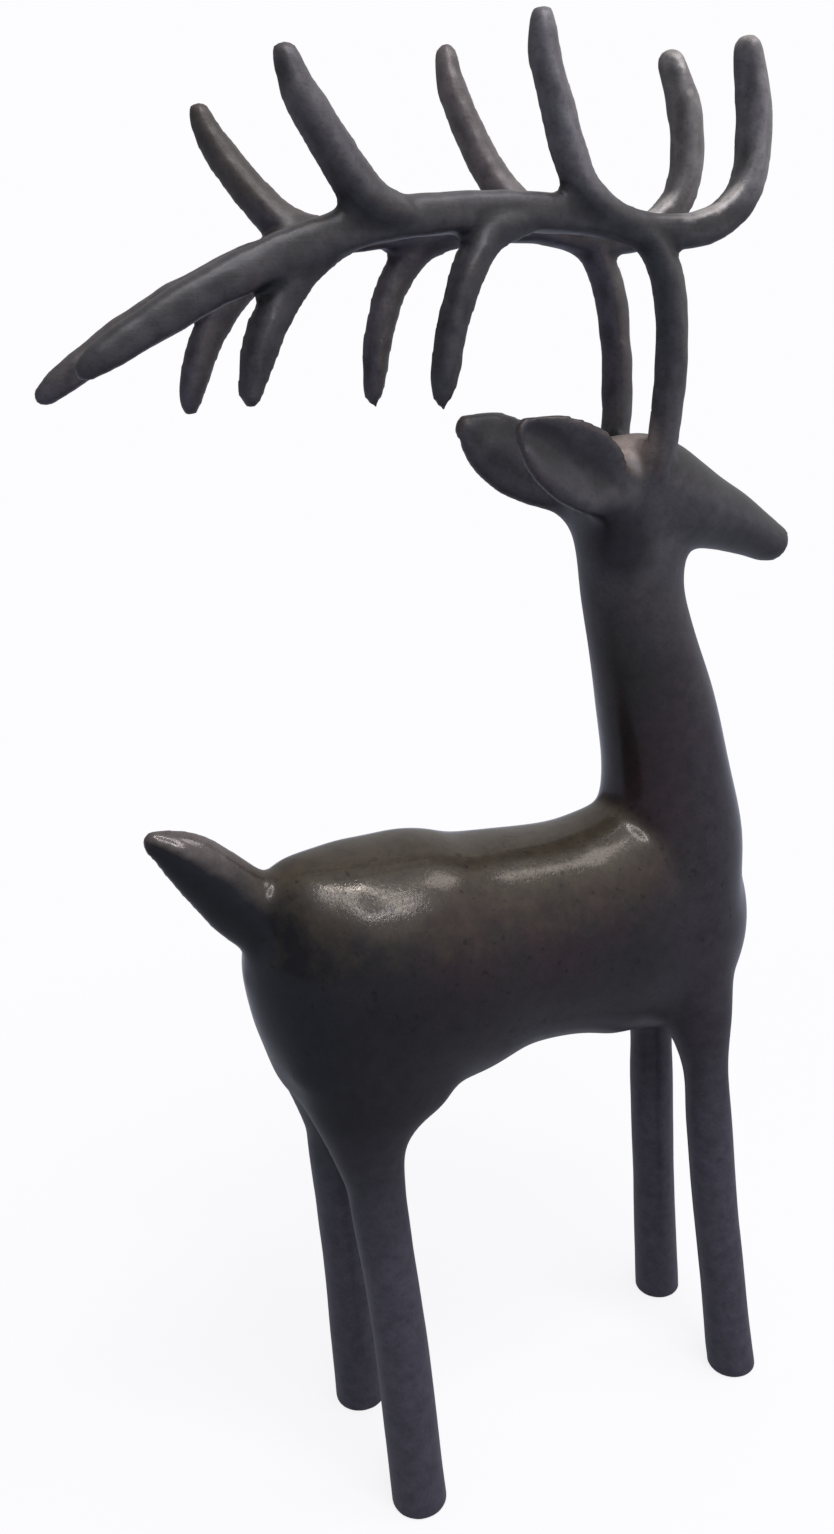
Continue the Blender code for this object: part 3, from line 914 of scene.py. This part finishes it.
# %% [markdown]
# Close up, the colour is broken: the creases are darkened as painted shade, along with the dirt and old wax
# that stay there, a mottle of five millimetres lies over all of it, and there are fine pores. Larger pits, a
# few millimetres apart, are only on the body, because the legs and the antlers were rolled and filed smooth.
# Each of these dims the colour by its own share, and the shares are multiplied.

# %% Painted crease shade, mottle, pores and pits
limbs = {0: share["down the legs"], 1: share["up the neck"]}
off_body = add(tree, "ShaderNodeMath", limbs, operation="ADD").outputs[0]
filled = {0: pattern["pits"], 1: off_body}
pits_on_body = add(tree, "ShaderNodeMath", filled, operation="ADD").outputs[0]

# Each row: what it is measured by, the range of that, and the share of the light at either end. These are
# the five sockets of a Map Range node, in their order.
dimming = {
    # Painted shade in the creases, where the surface lies below its smoother copy.
    "painted crease shade": (stands_proud, -1.2, -0.2, 0.55, 1.0),
    "mottle": (pattern["mottle"], 0.34, 0.66, 0.80, 1.22),
    "pits": (pits_on_body, 0.24, 0.34, 0.45, 1.0),
    "pores": (pattern["pores"], 0.30, 0.46, 0.80, 1.0),
}
dimmed = {
    name: add(tree, "ShaderNodeMapRange", dict(enumerate(row))).outputs[0]
    for name, row in dimming.items()
}
light_left = 1.0
for part_left in dimmed.values():
    light_left = add(tree, "ShaderNodeMath", {0: light_left, 1: part_left}, operation="MULTIPLY").outputs[0]
colour = add(tree, "ShaderNodeVectorMath", {0: colour, "Scale": light_left}, operation="SCALE").outputs[0]
print("the colour is dimmed by:", ", ".join(dimming))

# %% [markdown]
# The rump and the back are buffed: there the wax is a mirror with fine scratches, so a lamp shows as a
# sharp, grainy spot. Tiny specks of a higher roughness between smooth ones give that grain. The legs, the
# head and the antlers are matt. The relief is a bump: a soft skin all over, weaker where it is buffed, the
# pores, and long marks of the file along the antlers.

# %% Gloss and relief
MATT = 0.48
SKIN_BUMP, BUFFED_SKIN_BUMP, SKIN_DEPTH = 0.4, 0.10, 0.0002
PORE_BUMP, PORE_DEPTH = 0.30, 0.0003
FILE_BUMP, FILE_DEPTH = 0.2, 0.0004
FILE_MARK_MM, FILE_STRETCH, FILE_TILT = 1.1, 14.0, -14.0

specks = {0: pattern["specks"], 1: 0.42, 2: 0.58, 3: 0.04, 4: 0.17}
buffed_gloss = add(tree, "ShaderNodeMapRange", specks).outputs[0]
gloss_ends = {0: share["buffed"], 3: MATT, 4: buffed_gloss}
gloss = add(tree, "ShaderNodeMapRange", gloss_ends).outputs[0]
skin_ends = {0: share["buffed"], 3: SKIN_BUMP, 4: BUFFED_SKIN_BUMP}
skin_strength = add(tree, "ShaderNodeMapRange", skin_ends).outputs[0]

file_stroke = {
    "Vector": place,
    "Scale": (1 / FILE_STRETCH, 1.0, 1.0),
    "Rotation": (0.0, math.radians(FILE_TILT), 0.0),
}
along_beam = add(tree, "ShaderNodeMapping", file_stroke).outputs[0]
stroke_grain = {"Vector": along_beam, "Scale": per_metre(FILE_MARK_MM), "Detail": 2.0}
strokes = add(tree, "ShaderNodeTexNoise", stroke_grain).outputs["Fac"]
on_antlers_only = {0: strokes, 1: share["antlers"]}
file_marks = add(tree, "ShaderNodeMath", on_antlers_only, operation="MULTIPLY").outputs[0]

relief = None
for relief_height, strength, depth in (
    (pattern["skin"], skin_strength, SKIN_DEPTH),
    (dimmed["pores"], PORE_BUMP, PORE_DEPTH),
    (file_marks, FILE_BUMP, FILE_DEPTH),
):
    bump = {"Height": relief_height, "Strength": strength, "Distance": depth}
    if relief:
        bump["Normal"] = relief
    relief = add(tree, "ShaderNodeBump", bump).outputs[0]
print("nodes in all but the metal:", len(tree.nodes))

# %% [markdown]
# The metal itself: bare bronze would be fully metallic, and an oxide isn't, so a quarter is what still
# shines through the thin patina, and the oxide mirrors little, so its specular level is low. The wax over it
# is a clear coat, thin and softly blurred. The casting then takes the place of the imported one.

# %% Waxed brown patina on cast bronze
bronze = add(tree, "ShaderNodeBsdfPrincipled", {
    "Base Color": colour,
    "Metallic": 0.25,
    "Roughness": gloss,
    "Normal": relief,
    "Specular IOR Level": 0.17,
    "Coat Weight": 0.42,
    "Coat Roughness": 0.38,
})
add(tree, "ShaderNodeOutputMaterial", {"Surface": bronze.outputs[0]})

skin.materials.clear()
skin.materials.append(patina)
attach(casting, "root")
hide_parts("reindeer")
print("finished:", casting.name, "in", patina.name)

# %% [markdown]
# The camera stands where the photograph was taken: close, as a phone held half a metre away, a little behind
# the tail and as high as the root of the antlers, so the near hind leg looms and the far feet are higher in
# the picture. Its place and angles were solved from the four feet and the paired tips of the tines.

# %% Camera
PHOTO_HEIGHT_PX = 1534
FOCAL_PX = 1301.55
SENSOR = 36.0
NEAREST = 0.01
camera_place = np.array([-0.19147, -0.38565, 0.41000])
turned, tipped, rolled = -0.412583, 0.307853, -0.052287

forward = np.array([
    -math.sin(turned) * math.cos(tipped), math.cos(turned) * math.cos(tipped), -math.sin(tipped)
])
level_right = np.array([math.cos(turned), math.sin(turned), 0.0])
level_up = np.cross(level_right, forward)
right = math.cos(rolled) * level_right + math.sin(rolled) * level_up
up = -math.sin(rolled) * level_right + math.cos(rolled) * level_up

camera_data = bpy.data.cameras.new("camera")
camera_data.sensor_fit = "VERTICAL"
camera_data.sensor_height = SENSOR
camera_data.lens = FOCAL_PX / PHOTO_HEIGHT_PX * SENSOR
camera_data.clip_start = NEAREST
camera = bpy.data.objects.new("camera", camera_data)
bpy.context.scene.collection.objects.link(camera)
pose = np.eye(4)
pose[:3, 0], pose[:3, 1], pose[:3, 2], pose[:3, 3] = right, up, -forward, camera_place
camera.matrix_world = Matrix(pose.tolist())
bpy.context.scene.camera = camera
print("lens", round(camera_data.lens, 2), "mm on a", SENSOR, "mm sensor")

# %% [markdown]
# The statue stands on white paper. The paper gives its own light, so that it is plain white in the picture
# wherever the lamps fall. What the bronze gets from it is dimmer under the statue, which stands in its own
# light there, and a little blue. Near the feet a share of it is ordinary matt paper, which takes the lamps'
# faint shadow.

# %% Floor
FLOOR_REACH = 4.0
SEEN_WHITE = 1.0
PAPER_SEEN, PAPER_GLOW = "fdfcfe", "e6eaff"
GLOW_UNDER, GLOW_AROUND = 0.28, 0.55
GLOW_NEAR, GLOW_FAR = 0.10, 0.70
SHADOW_SHARE = 0.14
SHADOW_NEAR, SHADOW_FAR = 0.15, 0.50

corners = [(x * FLOOR_REACH, y * FLOOR_REACH, 0) for x, y in ((-1, -1), (1, -1), (1, 1), (-1, 1))]
floor = new_object("floor", corners, [(0, 1, 2, 3)])
paper = bpy.data.materials.new("matt_white_paper")
paper.use_nodes = True
sheet = paper.node_tree
sheet.nodes.clear()
white = linear(PAPER_SEEN)
seen = add(sheet, "ShaderNodeLightPath").outputs["Is Camera Ray"]
on_sheet = add(sheet, "ShaderNodeTexCoord").outputs["Object"]
from_feet = add(sheet, "ShaderNodeVectorMath", {0: on_sheet}, operation="LENGTH").outputs["Value"]
glow_ends = {0: from_feet, 1: GLOW_NEAR, 2: GLOW_FAR, 3: GLOW_UNDER, 4: GLOW_AROUND}
glow = add(sheet, "ShaderNodeMapRange", glow_ends).outputs[0]
level = add(sheet, "ShaderNodeMix", {"Factor": seen, 2: glow, 3: SEEN_WHITE}, data_type="FLOAT").outputs[0]
tints = {"Factor": seen, 6: linear(PAPER_GLOW), 7: white}
tint = add(sheet, "ShaderNodeMix", tints, data_type="RGBA").outputs[2]
lit = add(sheet, "ShaderNodeEmission", {"Color": tint, "Strength": level}).outputs[0]
shaded = add(sheet, "ShaderNodeBsdfDiffuse", {"Color": white}).outputs[0]
shadow_ends = {0: from_feet, 1: SHADOW_NEAR, 2: SHADOW_FAR, 3: SHADOW_SHARE, 4: 0.0}
shadow = add(sheet, "ShaderNodeMapRange", shadow_ends).outputs[0]
surface = add(sheet, "ShaderNodeMixShader", {0: shadow, 1: lit, 2: shaded}).outputs[0]
add(sheet, "ShaderNodeOutputMaterial", {"Surface": surface})
floor.data.materials.append(paper)
print("floor:", 2 * FLOOR_REACH, "m wide")

# %% [markdown]
# The room is white to the camera as well. For the bronze it is a soft window: brightest high up ahead of
# the chest, and dim behind, so the face and the chest are lifted and the side behind the neck stays dark.

# %% Room
BRIGHT_TOWARDS = (0.60, -0.25, 0.76)
DIM, BRIGHT = 0.22, 0.85
DIM_UP_TO, BRIGHT_FROM = -0.2, 0.9

room = bpy.data.worlds.new("white_room")
room.use_nodes = True
walls = room.node_tree
walls.nodes.clear()
looking = {0: add(walls, "ShaderNodeTexCoord").outputs["Generated"], 1: BRIGHT_TOWARDS}
to_window = add(walls, "ShaderNodeVectorMath", looking, operation="DOT_PRODUCT").outputs["Value"]
wall_ends = {0: to_window, 1: DIM_UP_TO, 2: BRIGHT_FROM, 3: DIM, 4: BRIGHT}
wall_light = add(walls, "ShaderNodeMapRange", wall_ends).outputs[0]
seen = add(walls, "ShaderNodeLightPath").outputs["Is Camera Ray"]
levels = {"Factor": seen, 2: wall_light, 3: SEEN_WHITE}
level = add(walls, "ShaderNodeMix", levels, data_type="FLOAT").outputs[0]
air = add(walls, "ShaderNodeBackground", {"Color": white, "Strength": level}).outputs[0]
add(walls, "ShaderNodeOutputWorld", {"Surface": air})
bpy.context.scene.world = room
bpy.context.scene.view_settings.view_transform = "Standard"
print("room light from", DIM, "to", BRIGHT)

# %% [markdown]
# On a waxed rump a lamp shows as its own picture. In the photograph that picture is a ring with a dark
# middle, so eighteen small lamps hang in a ring, high up on the camera's side. The streak along the withers
# is a broad lamp ahead of them: the back curves little lengthwise there, and draws it out.

# %% Lamps
LAMP_DISTANCE = 1.3
RING_LAMPS = 18
RING_AZIMUTH, RING_ELEVATION = 5.0, 58.0
RING_WIDE, RING_HIGH = 19.0, 16.0
RING_LAMP = {"width": 0.16, "height": 0.09, "watts": 0.53, "colour": "f8f9ff"}
WITHERS_AZIMUTH, WITHERS_ELEVATION = 60, 54
WITHERS_LAMP = {"width": 0.36, "height": 0.34, "watts": 2.3, "colour": "fbfaff"}
middle = np.array([0.0, 0.0, HEIGHT / 2])


def lamp(name, azimuth, elevation, width, height, watts, colour):
    """A rectangular lamp that faces the statue. Azimuth 0 is the camera's side, and 90 is ahead of the
    nose; both angles are in degrees. The lamp's place is the middle + distance * (sin azimuth cos elevation,
    -cos azimuth cos elevation, sin elevation)."""
    turn, rise = math.radians(azimuth), math.radians(elevation)
    outwards = np.array([math.sin(turn) * math.cos(rise), -math.cos(turn) * math.cos(rise), math.sin(rise)])
    data = bpy.data.lights.new(name, "AREA")
    data.shape = "RECTANGLE"
    data.size, data.size_y = width, height
    data.energy = watts
    data.color = linear(colour)[:3]
    made = bpy.data.objects.new(name, data)
    bpy.context.scene.collection.objects.link(made)
    sideways = unit(np.cross([0.0, 0.0, 1.0], outwards))
    pose = np.eye(4)
    pose[:3, 0], pose[:3, 1], pose[:3, 2] = sideways, np.cross(outwards, sideways), outwards
    pose[:3, 3] = middle + LAMP_DISTANCE * outwards
    made.matrix_world = Matrix(pose.tolist())


for number in range(RING_LAMPS):
    round_ring = 2 * math.pi * number / RING_LAMPS
    azimuth = RING_AZIMUTH + RING_WIDE * math.cos(round_ring)
    elevation = RING_ELEVATION + RING_HIGH * math.sin(round_ring)
    lamp(f"ring_lamp_{number}", azimuth, elevation, **RING_LAMP)
lamp("withers_lamp", WITHERS_AZIMUTH, WITHERS_ELEVATION, **WITHERS_LAMP)
print("lamps:", RING_LAMPS, "in the ring and one for the withers")

# %% [markdown]

# %% A last import
import json
